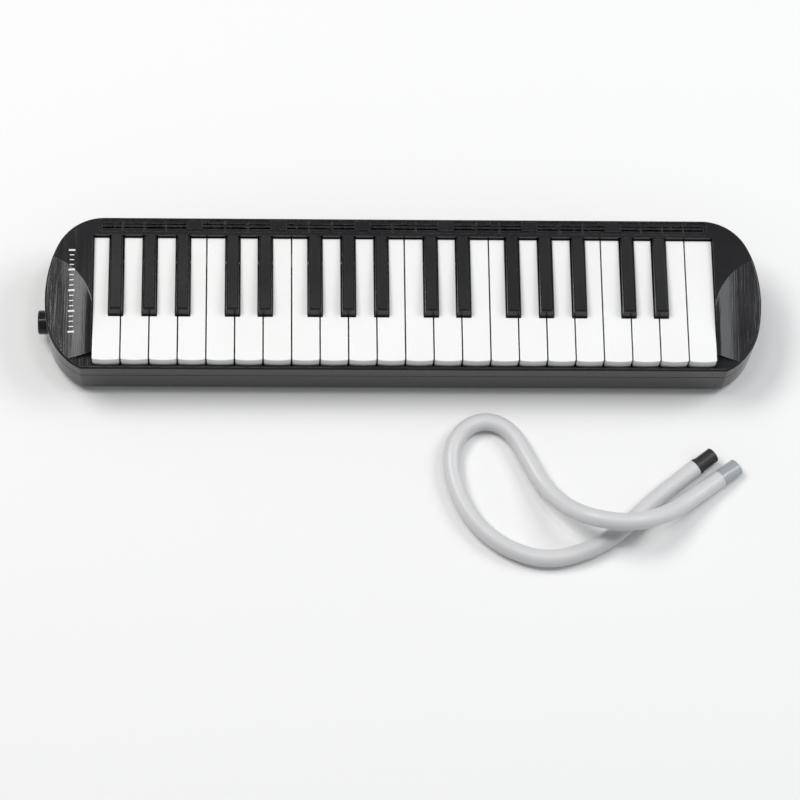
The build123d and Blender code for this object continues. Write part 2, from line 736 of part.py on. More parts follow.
# ---- Fasteners, feet and stops ----------------------------------------------------------------
def screw(x, y, seat, tip, pointing):
    """A pan-head screw; pointing is the side of the seat that its head is on, +1 above."""
    head = post(x, y, *sorted((seat, seat + pointing * screw_head[1])), screw_head[0])
    far = head.edges().group_by(Axis.Z)[-1 if pointing > 0 else 0]
    head = fillet(far, screw_head[1] / 3)
    slot = seat + pointing * screw_head[1]
    for width, depth in ((2.6, 0.5), (0.5, 2.6)):
        head -= Pos(x, y, slot) * Box(width, depth, screw_head[1])
    return head + post(x, y, *sorted((seat, tip)), screw_radius)


def hose_radii():
    """The radius of each bend: as large as its two straight runs allow."""
    points = [Vector(*point) for point in hose_route]
    radii = []
    for before, here, after in zip(points, points[1:], points[2:]):
        coming, going = here - before, after - here
        turn = radians(coming.get_angle(going))
        radii.append(0.45 * min(coming.length, going.length) / tan(turn / 2))
    return radii


def end_plane(at, inward):
    """A plane across an end of the hose, facing away from it."""
    out = (Vector(*at) - Vector(*inward)).normalized()
    return Plane(origin=at, x_dir=Vector(-out.Y, out.X, 0), z_dir=out)


def hose_tube():
    radii = hose_radii()
    path = FilletPolyline(*hose_route, radius=radii)
    section = Circle(hose_radius) - Circle(hose_bore)
    tube = sweep(end_plane(hose_route[0], hose_route[1]) * section, path=path)
    length = path.length
    expected = pi * (hose_radius ** 2 - hose_bore ** 2) * length
    print("hose length", round(length, 1), "volume", round(tube.volume), "expected",
          round(expected), "bend radii", [round(radius, 1) for radius in radii])
    return tube


def fitting(plane, body, bore):
    """An end piece of the hose: its visible body, its barb in the hose and its bore."""
    barb = plane * Pos(0, 0, -barb_length / 2) * Cylinder(hose_bore - seat_fit, barb_length)
    passage = plane * Cylinder(bore, 8 * hose_radius)
    return body + barb - passage


def hose_connector():
    plane = end_plane(hose_route[0], hose_route[1])
    (collar, thickness), (pin, length) = connector_collar, connector_pin
    body = plane * Pos(0, 0, thickness / 2) * Cylinder(collar, thickness)
    plug = Pos(0, 0, thickness + length / 2) * Cylinder(pin, length)
    plug = chamfer(plug.edges().group_by(Axis.Z)[-1], 0.5)
    return fitting(plane, body + plane * plug, connector_bore)


def hose_mouthpiece():
    plane = end_plane(hose_route[-1], hose_route[-2])
    far = plane.offset(mouthpiece_length)
    body = loft([plane * Circle(hose_radius), far * Ellipse(*mouthpiece_tip)])
    body = fillet(body.edges().sort_by_distance(far.origin)[0], 1.2)
    return fitting(plane, body, mouthpiece_bore)


os.makedirs("parts", exist_ok=True)

write("upper_cover", upper_cover())
write("lower_cover", lower_cover())
write("reed_block", reed_block())
write("reed_plates", *reed_plates())
write("reeds", *reeds())
write("chamber_tray", chamber_tray())
write("chamber_gasket", chamber_gasket())
write("mouthpiece_socket", mouthpiece_socket())
write("socket_seal", socket_seal())

for number in range(white_count):
    write(f"white_key_{number + 1:02d}", *white_key(number))
for number, x in enumerate(black_centres):
    write(f"black_key_{number + 1:02d}", *black_key(x))
write("key_shaft", crossbar(-chamber_half + 1, chamber_half - 1, shaft_y, shaft_z, shaft_radius))
write("shaft_brackets", *shaft_brackets())
write("key_springs", *[coil(x, spring_y, arm_top, rail_underside, spring_radius, spring_wire,
                            spring_turns) for x in arm_centres])

rail_front = key_front + stop_rail_inset
rail = block(-keyboard_half, keyboard_half, rail_front, rail_front + stop_rail_depth,
             stop_rail_bottom, stop_rail_top)
rail -= [post(x, stop_screw_y, 0, rail_top, screw_radius + screw_clearance) for x in tab_spots]
write("stop_rail", rail)
felt_front = rail_front + stop_felt_inset
write("stop_felt", block(-keyboard_half, keyboard_half, felt_front, felt_front + stop_felt_depth,
                         stop_rail_top, stop_rail_top + stop_felt_thickness))
write("cover_screws", *[screw(x, y, cover_screw_seat, cover_screw_top, -1)
                        for x, y in screw_spots()])
write("inner_screws",
      *[screw(x, tab_y, block_bottom + tab_size[2], floor_top + 2, 1) for x in tab_spots],
      *[screw(x, stop_screw_y, stop_rail_top, floor_top + 8, 1) for x in tab_spots])
feet = [post(x, y, 0, foot_height + foot_recess, foot_radius)
        for x, y in foot_spots()]
write("rubber_feet", *[chamfer(foot.edges().group_by(Axis.Z)[0], 0.6) for foot in feet])

write("drain_button", drain_button())
write("drain_seal", drain_seal())
write("drain_spring", coil(*drain_place, drain_rim_top, tray_bottom, drain_spring_radius,
                           drain_spring_wire, drain_spring_turns))

write("hose_tube", hose_tube(), shift=0)
write("hose_connector", hose_connector(), shift=0)
write("hose_mouthpiece", hose_mouthpiece(), shift=0)
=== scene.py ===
import logging
import math
from dataclasses import dataclass
from enum import Enum
from typing import Callable, Iterable, Sequence

import bpy
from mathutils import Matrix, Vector


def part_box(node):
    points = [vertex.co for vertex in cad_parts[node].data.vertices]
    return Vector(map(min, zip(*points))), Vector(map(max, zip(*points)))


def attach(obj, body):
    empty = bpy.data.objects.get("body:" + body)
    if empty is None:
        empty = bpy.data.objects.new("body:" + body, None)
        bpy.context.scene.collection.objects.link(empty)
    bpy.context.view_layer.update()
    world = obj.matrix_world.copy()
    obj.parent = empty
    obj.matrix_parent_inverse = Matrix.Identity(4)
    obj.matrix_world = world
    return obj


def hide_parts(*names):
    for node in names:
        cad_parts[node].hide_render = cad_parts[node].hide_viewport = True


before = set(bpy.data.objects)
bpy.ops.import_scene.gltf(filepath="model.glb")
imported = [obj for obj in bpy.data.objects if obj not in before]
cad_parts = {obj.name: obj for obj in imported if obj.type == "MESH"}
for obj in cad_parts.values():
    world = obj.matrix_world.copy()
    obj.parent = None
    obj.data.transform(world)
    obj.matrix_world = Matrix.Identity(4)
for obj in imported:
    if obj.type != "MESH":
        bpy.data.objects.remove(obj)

log = logging.getLogger("melodica")
MM = 0.001
Colour = tuple[float, float, float]
Point = tuple[float, float, float]


class Body(Enum):
    """The bodies that new pieces ride on."""

    CASE = "case"
    HOSE = "hose"


class Facing(Enum):
    """Which way a surface has to face to gather dust."""

    UP = 1.0
    ANY = 0.0


# ---- Shader graphs ------------------------------------------------------------------------------
@dataclass
class Graph:
    """A shader node tree, with short calls that add and join its nodes."""

    tree: bpy.types.NodeTree

    def feed(self, socket: bpy.types.NodeSocket, value: object) -> None:
        """Links or sets one input.

        Args:
            socket: The input to fill.
            value: An output socket to link, or a plain value to set.
        """
        if isinstance(value, bpy.types.NodeSocket):
            self.tree.links.new(value, socket)
        else:
            socket.default_value = value

    def node(self, kind: str, inputs: dict[str, object] | None = None,
             **settings: object) -> bpy.types.Node:
        """Adds a node.

        Args:
            kind: Its type, such as ShaderNodeTexNoise.
            inputs: What goes into its input sockets, by their names.
            settings: Its own properties.

        Returns:
            The new node.
        """
        made = self.tree.nodes.new(kind)
        for name, value in settings.items():
            setattr(made, name, value)
        for name, value in (inputs or {}).items():
            self.feed(made.inputs[name], value)
        return made

    def math(self, operation: str, *values: object) -> bpy.types.NodeSocket:
        """Adds a Math node.

        Args:
            operation: What it does, such as MULTIPLY.
            values: Its inputs in order, sockets or numbers.

        Returns:
            Its result.
        """
        made = self.node("ShaderNodeMath", operation=operation)
        for socket, value in zip(made.inputs, values):
            self.feed(socket, value)
        return made.outputs["Value"]

    def noise(self, vector: bpy.types.NodeSocket, scale: object, detail: float = 2.0,
              roughness: float = 0.5) -> bpy.types.NodeSocket:
        """Adds a noise texture.

        Args:
            vector: Where it is read.
            scale: Its scale.
            detail: Its octaves.
            roughness: How much each octave adds.

        Returns:
            Its value, near 0.5 on average.
        """
        made = self.node("ShaderNodeTexNoise", {"Vector": vector, "Scale": scale,
                                                "Detail": detail, "Roughness": roughness})
        return made.outputs["Fac"]

    def stretch(self, vector: bpy.types.NodeSocket, scale: Point,
                turn: float = 0.0) -> bpy.types.NodeSocket:
        """Turns a vector about Z and then scales it, for streaks and grain.

        Args:
            vector: The vector.
            scale: The scale along X, Y and Z.
            turn: The turn, in radians.

        Returns:
            The new vector.
        """
        turned = self.node("ShaderNodeMapping", {"Vector": vector, "Rotation": (0, 0, turn)})
        scaled = self.node("ShaderNodeMapping", {"Vector": turned.outputs["Vector"],
                                                 "Scale": scale})
        return scaled.outputs["Vector"]

    def between(self, value: bpy.types.NodeSocket, low: object, high: object, to_low: object = 0.0,
                to_high: object = 1.0) -> bpy.types.NodeSocket:
        """Maps a value from one range to another, clamped.

        Args:
            value: The value.
            low: Start of its range.
            high: End of its range.
            to_low: What the start becomes.
            to_high: What the end becomes.

        Returns:
            The mapped value.
        """
        made = self.node("ShaderNodeMapRange", {"Value": value, "From Min": low, "From Max": high,
                                                "To Min": to_low, "To Max": to_high})
        return made.outputs["Result"]

    def mixed(self, share: object, first: object, second: object) -> bpy.types.NodeSocket:
        """Mixes two colours.

        Args:
            share: How much of the second, from 0 to 1.
            first: The first colour, a socket or three numbers.
            second: The second colour.

        Returns:
            The mixed colour.
        """
        made = self.node("ShaderNodeMix", data_type="RGBA")
        for name, value in (("Factor_Float", share), ("A_Color", first), ("B_Color", second)):
            socket = next(s for s in made.inputs if s.identifier == name)
            self.feed(socket, (*value, 1.0) if isinstance(value, tuple) else value)
        return next(s for s in made.outputs if s.identifier == "Result_Color")


@dataclass(frozen=True)
class Effect:
    """A surface effect that many materials share, kept as one shader node group."""

    name: str
    inputs: tuple[tuple[str, str, object], ...]
    output: str
    fill: Callable[[Graph, dict[str, bpy.types.NodeSocket]], bpy.types.NodeSocket]

    def group(self) -> bpy.types.NodeTree:
        """Builds the group once, and returns it."""
        if self.name in bpy.data.node_groups:
            return bpy.data.node_groups[self.name]
        tree = bpy.data.node_groups.new(self.name, "ShaderNodeTree")
        for name, kind, value in self.inputs:
            socket = tree.interface.new_socket(name, in_out="INPUT", socket_type=kind)
            if value is not None:
                socket.default_value = value
        tree.interface.new_socket(self.output, in_out="OUTPUT", socket_type="NodeSocketFloat")
        graph = Graph(tree)
        entry, leave = graph.node("NodeGroupInput"), graph.node("NodeGroupOutput")
        result = self.fill(graph, {name: entry.outputs[name] for name, _, _ in self.inputs})
        graph.feed(leave.inputs[self.output], result)
        return tree

    def place(self, graph: Graph, **values: object) -> bpy.types.NodeSocket:
        """Places the effect in a material.

        Args:
            graph: The material's graph.
            values: Its inputs, by name.

        Returns:
            The effect's output.
        """
        made = graph.node("ShaderNodeGroup", node_tree=self.group())
        for name, value in values.items():
            graph.feed(made.inputs[name.capitalize()], value)
        return made.outputs[self.output]


def fill_scratches(graph: Graph, given: dict[str, bpy.types.NodeSocket]) -> bpy.types.NodeSocket:
    """Hair-thin rubs in three directions, thinned out by a slow noise.

    Args:
        graph: The group's graph.
        given: The group's inputs, by name.

    Returns:
        The mask of scratches.
    """
    rubs = []
    for turn, across, along in ((0.12, 2600.0, 26.0), (1.35, 2100.0, 34.0), (2.2, 3000.0, 20.0)):
        streaks = graph.noise(graph.stretch(given["Vector"], (across, along, along), turn), 1.0)
        rubs.append(graph.between(streaks, 0.66, 0.74))
    rub = graph.math("MAXIMUM", graph.math("MAXIMUM", *rubs[:2]), rubs[2])
    patches = graph.between(graph.noise(given["Vector"], 38.0), 0.42, 0.62)
    return graph.math("MULTIPLY", graph.math("MULTIPLY", rub, patches), given["Amount"])


def fill_dust(graph: Graph, given: dict[str, bpy.types.NodeSocket]) -> bpy.types.NodeSocket:
    """Fine specks in drifts, mostly on surfaces that face up.

    Args:
        graph: The group's graph.
        given: The group's inputs, by name.

    Returns:
        The mask of dust.
    """
    specks = graph.between(graph.noise(given["Vector"], 2400.0, 1.0), 0.66, 0.76)
    film = graph.between(graph.noise(given["Vector"], 22.0, 4.0), 0.35, 0.75)
    normal = graph.node("ShaderNodeNewGeometry").outputs["Normal"]
    height = graph.node("ShaderNodeSeparateXYZ", {"Vector": normal}).outputs["Z"]
    facing = graph.between(height, graph.math("SUBTRACT", given["Facing"], 0.6), given["Facing"])
    cover = graph.math("ADD", specks, graph.math("MULTIPLY", film, 0.25))
    return graph.math("MULTIPLY", graph.math("MULTIPLY", cover, facing), given["Amount"])


def fill_grain(graph: Graph, given: dict[str, bpy.types.NodeSocket]) -> bpy.types.NodeSocket:
    """The faint orange-peel and grain of a moulded surface.

    Args:
        graph: The group's graph.
        given: The group's inputs, by name.

    Returns:
        The surface's height.
    """
    fine = graph.noise(given["Vector"], given["Scale"], 3.0, 0.6)
    slow = graph.noise(given["Vector"], 55.0, 1.0)
    return graph.math("ADD", graph.math("MULTIPLY", fine, 0.6),
                      graph.math("MULTIPLY", slow, 0.4))


def fill_edge_wear_and_highlight(graph: Graph, given: dict[str, bpy.types.NodeSocket]) -> bpy.types.NodeSocket:
    """Edges rubbed by hands, lightened partly as a painted highlight: where a rounded normal
    leaves the real one.

    Args:
        graph: The group's graph.
        given: The group's inputs, by name.

    Returns:
        The mask of rubbed edges, which also carries the painted edge highlight.
    """
    rounded = graph.node("ShaderNodeBevel", {"Radius": given["Radius"]}, samples=4)
    real = graph.node("ShaderNodeNewGeometry").outputs["Normal"]
    match = graph.node("ShaderNodeVectorMath", operation="DOT_PRODUCT")
    graph.feed(match.inputs[0], rounded.outputs["Normal"])
    graph.feed(match.inputs[1], real)
    edge = graph.between(match.outputs["Value"], 0.995, 0.86)
    broken = graph.between(graph.noise(given["Vector"], 420.0, 4.0, 0.7), 0.38, 0.6)
    return graph.math("MULTIPLY", graph.math("MULTIPLY", edge, broken), given["Amount"])


def fill_mottle(graph: Graph, given: dict[str, bpy.types.NodeSocket]) -> bpy.types.NodeSocket:
    """Slow unevenness of tone or polish.

    Args:
        graph: The group's graph.
        given: The group's inputs, by name.

    Returns:
        The mask of clouds.
    """
    clouds = graph.noise(given["Vector"], given["Scale"], 4.0, 0.55)
    return graph.math("MULTIPLY", graph.between(clouds, 0.3, 0.7), given["Amount"])


def fill_streaks(graph: Graph, given: dict[str, bpy.types.NodeSocket]) -> bpy.types.NodeSocket:
    """Long polishing marks along Y, of uneven width.

    Args:
        graph: The group's graph.
        given: The group's inputs, by name.

    Returns:
        The surface's height.
    """
    wide = graph.noise(graph.stretch(given["Vector"], (420.0, 14.0, 14.0)), 1.0, 3.0)
    fine = graph.noise(graph.stretch(given["Vector"], (1500.0, 22.0, 22.0), 0.03), 1.0, 2.0)
    return graph.math("ADD", graph.math("MULTIPLY", wide, 0.7), graph.math("MULTIPLY", fine, 0.3))


VECTOR = ("Vector", "NodeSocketVector", None)
AMOUNT = ("Amount", "NodeSocketFloat", 1.0)
SCRATCHES = Effect("fine_scratches", (VECTOR, AMOUNT), "Mask", fill_scratches)
DUST = Effect("dust", (VECTOR, AMOUNT, ("Facing", "NodeSocketFloat", 1.0)), "Mask", fill_dust)
GRAIN = Effect("moulded_grain", (VECTOR, ("Scale", "NodeSocketFloat", 900.0)), "Height",
               fill_grain)
# Rubbed edges: their lighter colour is partly wear and partly a painted highlight along rims and
# block edges.
EDGE_WEAR_AND_HIGHLIGHT = Effect("edge_wear_and_highlight_mask", (VECTOR, AMOUNT, ("Radius", "NodeSocketFloat", 0.0005)), "Mask",
                   fill_edge_wear_and_highlight)
STREAKS = Effect("polishing_streaks", (VECTOR,), "Height", fill_streaks)
MOTTLE = Effect("mottle", (VECTOR, AMOUNT, ("Scale", "NodeSocketFloat", 30.0)), "Mask",
                fill_mottle)


# ---- Finishes -----------------------------------------------------------------------------------
@dataclass(frozen=True)
class Finish:
    """A hard surface: moulded plastic or metal, with its wear and a painted highlight along its
    edges.

    Amounts run from 0 to 1, and lengths are in metres.
    """

    name: str
    colour: Colour
    second: Colour             # what the slow mottling drifts to
    edge_wear_and_highlight_colour: Colour               # rubbed edges, and partly a painted highlight along them
    roughness: float
    rough_wear: float = 0.3    # what scratches and dust add to the roughness
    metallic: float = 0.0
    mottle: float = 0.4        # amount of slow unevenness
    mottle_scale: float = 30.0
    scratch: float = 0.5       # amount of fine scratches
    dust: float = 0.2          # amount of dust
    dust_colour: Colour = (0.42, 0.41, 0.39)
    facing: Facing = Facing.UP
    edge: float = 0.3          # amount of rubbing on edges, which also paints a highlight along them
    edge_radius: float = 0.5 * MM
    grain_scale: float = 900.0
    grain_depth: float = 0.01 * MM
    streak_depth: float = 0.0  # of the mould's polishing marks along Y
    tone_polish: float = 0.25  # what the mottling adds to the wear of the polish
    scratch_cut: float = 0.35  # how deep scratches go, as a share of the grain
    grain_strength: float = 0.6
    shader: tuple[tuple[str, object], ...] = ()  # the shader's own sockets, same all over

    def material(self) -> bpy.types.Material:
        """Returns the finish's material, made once."""
        if self.name in bpy.data.materials:
            return bpy.data.materials[self.name]
        material = bpy.data.materials.new(self.name)
        material.use_nodes = True
        graph = Graph(material.node_tree)
        principled = material.node_tree.nodes["Principled BSDF"]
        place = graph.node("ShaderNodeTexCoord").outputs["Object"]
        self.dress(graph, principled, place)
        return material

    def dress(self, graph: Graph, principled: bpy.types.Node,
              place: bpy.types.NodeSocket) -> None:
        """Fills the material's graph.

        Args:
            graph: The material's graph.
            principled: Its shader.
            place: Object coordinates, in metres.
        """
        tone = MOTTLE.place(graph, vector=place, amount=self.mottle, scale=self.mottle_scale)
        scratches = SCRATCHES.place(graph, vector=place, amount=self.scratch)
        dust = DUST.place(graph, vector=place, amount=self.dust, facing=self.facing.value)
        # Edges lightened with the edge colour: partly rubbing, partly a painted highlight along
        # the edges.
        edges = EDGE_WEAR_AND_HIGHLIGHT.place(graph, vector=place, amount=self.edge, radius=self.edge_radius)
        colour = graph.mixed(tone, self.colour, self.second)
        colour = graph.mixed(edges, colour, self.edge_wear_and_highlight_colour)
        colour = graph.mixed(dust, colour, self.dust_colour)
        wear = graph.math("MAXIMUM", graph.math("MAXIMUM", scratches, dust), edges)
        polish = graph.math("ADD", wear, graph.math("MULTIPLY", tone, self.tone_polish))
        rough = graph.between(polish, 0.0, 1.0, self.roughness, self.roughness + self.rough_wear)
        graph.feed(principled.inputs["Base Color"], colour)
        graph.feed(principled.inputs["Roughness"], rough)
        principled.inputs["Metallic"].default_value = self.metallic
        for name, value in self.shader:
            principled.inputs[name].default_value = value
        grain = GRAIN.place(graph, vector=place, scale=self.grain_scale)
        cut = graph.math("MULTIPLY", scratches, self.scratch_cut)
        height = graph.math("SUBTRACT", grain, cut)
        bump = graph.node("ShaderNodeBump", {"Height": height, "Distance": self.grain_depth,
                                             "Strength": self.grain_strength})
        if self.streak_depth:
            streaks = STREAKS.place(graph, vector=place)
            bump = graph.node("ShaderNodeBump", {"Height": streaks, "Distance": self.streak_depth,
                                                 "Normal": bump.outputs["Normal"]})
        graph.feed(principled.inputs["Normal"], bump.outputs["Normal"])


@dataclass(frozen=True)
class Felt(Finish):
    """Pressed wool: tangled fibres with a soft sheen."""

    fibre_scale: float = 1500.0
    fibre_stretch: Point = (1.0, 0.25, 1.0)
    fibre_turn: float = 0.6
    sheen: float = 0.5

    def dress(self, graph: Graph, principled: bpy.types.Node,
              place: bpy.types.NodeSocket) -> None:
        """Fills the material's graph with fibres.

        Args:
            graph: The material's graph.
            principled: Its shader.
            place: Object coordinates, in metres.
        """
        along = graph.stretch(place, self.fibre_stretch, self.fibre_turn)
        fibres = graph.noise(along, self.fibre_scale, detail=5.0, roughness=0.75)
        colour = graph.mixed(graph.between(fibres, 0.35, 0.68), self.colour, self.second)
        bump = graph.node("ShaderNodeBump", {"Height": fibres, "Distance": self.grain_depth})
        graph.feed(principled.inputs["Base Color"], colour)
        graph.feed(principled.inputs["Normal"], bump.outputs["Normal"])
        principled.inputs["Roughness"].default_value = self.roughness
        principled.inputs["Sheen Weight"].default_value = self.sheen


# The case's lighter edge colour, at amount 0.7, is partly a painted highlight along the cover's
# rims and the vent blocks' front edges.
CASE_BLACK = Finish("gloss_black_case", (0.0105, 0.0107, 0.0118), (0.0145, 0.0147, 0.0160),
                    (0.10, 0.10, 0.104), 0.13, 0.34, scratch=0.6, dust=0.07, edge=0.7,
                    edge_radius=0.7 * MM, grain_scale=420.0, grain_depth=0.006 * MM,
                    streak_depth=0.15 * MM, shader=(("IOR", 1.32),))
KEY_WHITE = Finish("gloss_white_key", (0.80, 0.805, 0.795), (0.76, 0.757, 0.735),
                   (0.84, 0.84, 0.83), 0.16, 0.3, mottle=0.5, scratch=0.22, dust=0.05,
                   dust_colour=(0.5, 0.48, 0.44), edge=0.3, edge_radius=0.4 * MM,
                   grain_scale=500.0, grain_depth=0.004 * MM,
                   shader=(("Subsurface Weight", 0.12), ("Subsurface Radius", (1.0, 0.9, 0.8)),
                           ("Subsurface Scale", 0.0015)))
KEY_BLACK = Finish("satin_black_key", (0.0075, 0.0077, 0.0083), (0.012, 0.0122, 0.013),
                   (0.09, 0.09, 0.094), 0.26, 0.25, scratch=0.45, dust=0.07, edge=0.75,
                   grain_scale=1500.0, grain_depth=0.012 * MM,
                   shader=(("Specular IOR Level", 0.42),))
INNER_PLASTIC = Finish("grey_inner_plastic", (0.24, 0.25, 0.26), (0.30, 0.31, 0.32),
                       (0.4, 0.4, 0.41), 0.42, scratch=0.2, dust=0.2)
PLATE_METAL = Finish("milled_reed_plate", (0.62, 0.56, 0.40), (0.52, 0.46, 0.32),
                     (0.75, 0.7, 0.55), 0.32, metallic=1.0, scratch=0.9, dust=0.0)
REED_METAL = Finish("reed_bronze", (0.72, 0.50, 0.24), (0.60, 0.39, 0.18), (0.85, 0.66, 0.4),
                    0.24, metallic=1.0, scratch=0.8, dust=0.0)
SOFT_BLACK = Finish("soft_black_rubber", (0.02, 0.02, 0.021), (0.032, 0.032, 0.033),
                    (0.06, 0.06, 0.06), 0.66, 0.15, scratch=0.2, dust=0.3, facing=Facing.ANY,
                    grain_scale=2200.0, grain_depth=0.04 * MM)
STEEL = Finish("drawn_steel", (0.56, 0.56, 0.57), (0.46, 0.46, 0.48), (0.7, 0.7, 0.7), 0.28,
               metallic=1.0, scratch=0.7, dust=0.0)
SCREW_STEEL = Finish("plated_screw", (0.60, 0.60, 0.61), (0.50, 0.50, 0.52), (0.75, 0.75, 0.75),
                     0.2, metallic=1.0, scratch=0.6, dust=0.1)
FELT_DARK = Felt("pressed_felt", (0.018, 0.018, 0.019), (0.05, 0.05, 0.052), (0.1, 0.1, 0.1), 0.95,
                 grain_depth=0.25 * MM)
HOSE_SOFT = Finish("soft_grey_hose", (0.60, 0.60, 0.605), (0.53, 0.53, 0.535),
                   (0.64, 0.64, 0.64), 0.34, 0.3, mottle=0.6, mottle_scale=18.0, scratch=0.3,
                   dust=0.12, dust_colour=(0.4, 0.39, 0.37), edge=0.0, grain_scale=700.0,
                   grain_depth=0.02 * MM,
                   shader=(("Subsurface Weight", 0.35), ("Subsurface Radius", (1.0, 1.0, 1.0)),
                           ("Subsurface Scale", 0.002)))
FITTING_BLACK = Finish("black_fitting", (0.016, 0.016, 0.018), (0.024, 0.024, 0.026),
                       (0.09, 0.09, 0.092), 0.28, 0.3, edge=0.6, grain_scale=1200.0)
TIP_GREY = Finish("translucent_grey_tip", (0.30, 0.32, 0.345), (0.36, 0.375, 0.40),
                  (0.5, 0.51, 0.53), 0.2, 0.3, edge=0.3,
                  shader=(("Subsurface Weight", 0.3), ("Subsurface Radius", (1.0, 1.0, 1.0)),
                          ("Subsurface Scale", 0.002)))
MARK_WHITE = Finish("white_print", (0.66, 0.66, 0.65), (0.58, 0.58, 0.57), (0.5, 0.5, 0.5), 0.4,
                    scratch=0.4, dust=0.1, edge=0.0)


def dress_nodes(names: Iterable[str], finish: Finish) -> int:
    """Gives a finish to nodes that keep their own shape.

    Args:
        names: The nodes.
        finish: Their finish.

    Returns:
        How many there were.
    """
    count = 0
    for name in names:
        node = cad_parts[name]
        if not node.material_slots:
            node.data.materials.append(None)
        for slot in node.material_slots:
            slot.material = finish.material()
        count += 1
    return count


# ---- Modelling helpers --------------------------------------------------------------------------
def deselect() -> None:
    """Leaves object mode with nothing selected."""
    if bpy.context.object and bpy.context.object.mode != "OBJECT":
        bpy.ops.object.mode_set(mode="OBJECT")
    bpy.ops.object.select_all(action="DESELECT")


def choose(pieces: Sequence[bpy.types.Object]) -> None:
    """Selects some pieces and nothing else, and makes the first one active.

    Args:
        pieces: The pieces.
    """
    deselect()
    for piece in pieces:
        piece.select_set(True)
    bpy.context.view_layer.objects.active = pieces[0]


def settle(piece: bpy.types.Object) -> None:
    """Puts a piece's place, turn and size in its mesh."""
    choose([piece])
    bpy.ops.object.transform_apply(location=True, rotation=True, scale=True)


def apply_modifiers(piece: bpy.types.Object) -> None:
    """Applies all of a piece's modifiers, in order.

    Args:
        piece: The piece.
    """
    choose([piece])
    for name in [modifier.name for modifier in piece.modifiers]:
        bpy.ops.object.modifier_apply(modifier=name)


# ---- Sub-assemblies -----------------------------------------------------------------------------
@dataclass(frozen=True)
class Softbox:
    """One soft light that faces the keyboard."""

    name: str
    place: Point               # where it hangs, in metres
    size: tuple[float, float]  # its width and height, in metres
    power: float               # in watts
    colour: Colour = (1.0, 1.0, 1.0)

    def build(self) -> None:
        """Hangs the light."""
        data = bpy.data.lights.new(self.name, "AREA")
        data.shape, (data.size, data.size_y) = "RECTANGLE", self.size
        data.energy, data.color = self.power, self.colour
        light = bpy.data.objects.new(self.name, data)
        bpy.context.scene.collection.objects.link(light)
        light.location = self.place
        light.visible_camera = False
        light.rotation_euler = (-Vector(self.place)).to_track_quat("-Z", "Y").to_euler()


KEY_LIGHT = Softbox("key", (-1.05, 0.55, 1.9), (1.0, 0.8), 27.0, (1.0, 0.99, 0.97))
FILL_LIGHT = Softbox("fill", (1.35, 0.40, 1.5), (0.9, 0.9), 15.5, (0.97, 0.985, 1.0))
LEFT_SCOOP_LIGHT = Softbox("left_strip", (-0.235, 0.06, 1.9), (0.13, 0.36), 4.0)
RIGHT_SCOOP_LIGHT = Softbox("right_strip", (0.38, 0.04, 1.9), (0.13, 0.36), 4.0)
LOW_LEFT_LIGHT = Softbox("low_left", (-1.5, -0.35, 0.34), (0.5, 0.9), 2.5)
LOW_RIGHT_LIGHT = Softbox("low_right", (1.5, -0.35, 0.34), (0.5, 0.9), 2.5)


@dataclass
class Studio:
    """Camera, floor and soft lights."""

    camera_place: Point = (-85.1 * MM, -716.1 * MM, 1756.0 * MM)
    looks_at: Point = (-0.2 * MM, -59.9 * MM, 20.0 * MM)
    roll: float = math.radians(7.105)
    lens: float = 140.9            # in millimetres, as the sensor is
    sensor: float = 36.0
    floor_size: float = 14.0
    floor_colour: Colour = (0.78, 0.78, 0.775)
    floor_roughness: float = 0.75
    world: Colour = (0.86, 0.88, 0.92)
    world_strength: float = 0.32
    tone_curve: str = "Standard"
    softboxes: Sequence[Softbox] = (KEY_LIGHT, FILL_LIGHT, LEFT_SCOOP_LIGHT, RIGHT_SCOOP_LIGHT,
                                    LOW_LEFT_LIGHT, LOW_RIGHT_LIGHT)

    def camera(self) -> None:
        """Makes the camera and looks through it."""
        data = bpy.data.cameras.new("camera")
        data.lens, data.sensor_width = self.lens, self.sensor
        camera = bpy.data.objects.new("camera", data)
        bpy.context.scene.collection.objects.link(camera)
        camera.location = self.camera_place
        towards = Vector(self.looks_at) - Vector(self.camera_place)
        turn = towards.to_track_quat("-Z", "Y").to_euler()
        turn.rotate_axis("Z", self.roll)
        camera.rotation_euler = turn
        bpy.context.scene.camera = camera

    def floor(self) -> None:
        """Lays a plain pale floor."""
        deselect()
        bpy.ops.mesh.primitive_plane_add(size=self.floor_size)
        floor = bpy.context.object
        floor.name = "floor"
        material = bpy.data.materials.new("pale_floor")
        material.use_nodes = True
        shader = material.node_tree.nodes["Principled BSDF"]
        shader.inputs["Base Color"].default_value = (*self.floor_colour, 1.0)
        shader.inputs["Roughness"].default_value = self.floor_roughness
        floor.data.materials.append(material)

    def lights(self) -> None:
        """Hangs the soft lights and sets the surrounding light."""
        world = bpy.data.worlds.new("studio")
        world.use_nodes = True
        background = world.node_tree.nodes["Background"]
        background.inputs["Color"].default_value = (*self.world, 1.0)
        background.inputs["Strength"].default_value = self.world_strength
        bpy.context.scene.world = world
        bpy.context.scene.view_settings.view_transform = self.tone_curve
        for softbox in self.softboxes:
            softbox.build()

    def build(self) -> None:
        """Sets up the studio."""
        self.camera()
        self.floor()
        self.lights()
        log.info("studio: camera, floor and %d soft lights", len(self.softboxes))


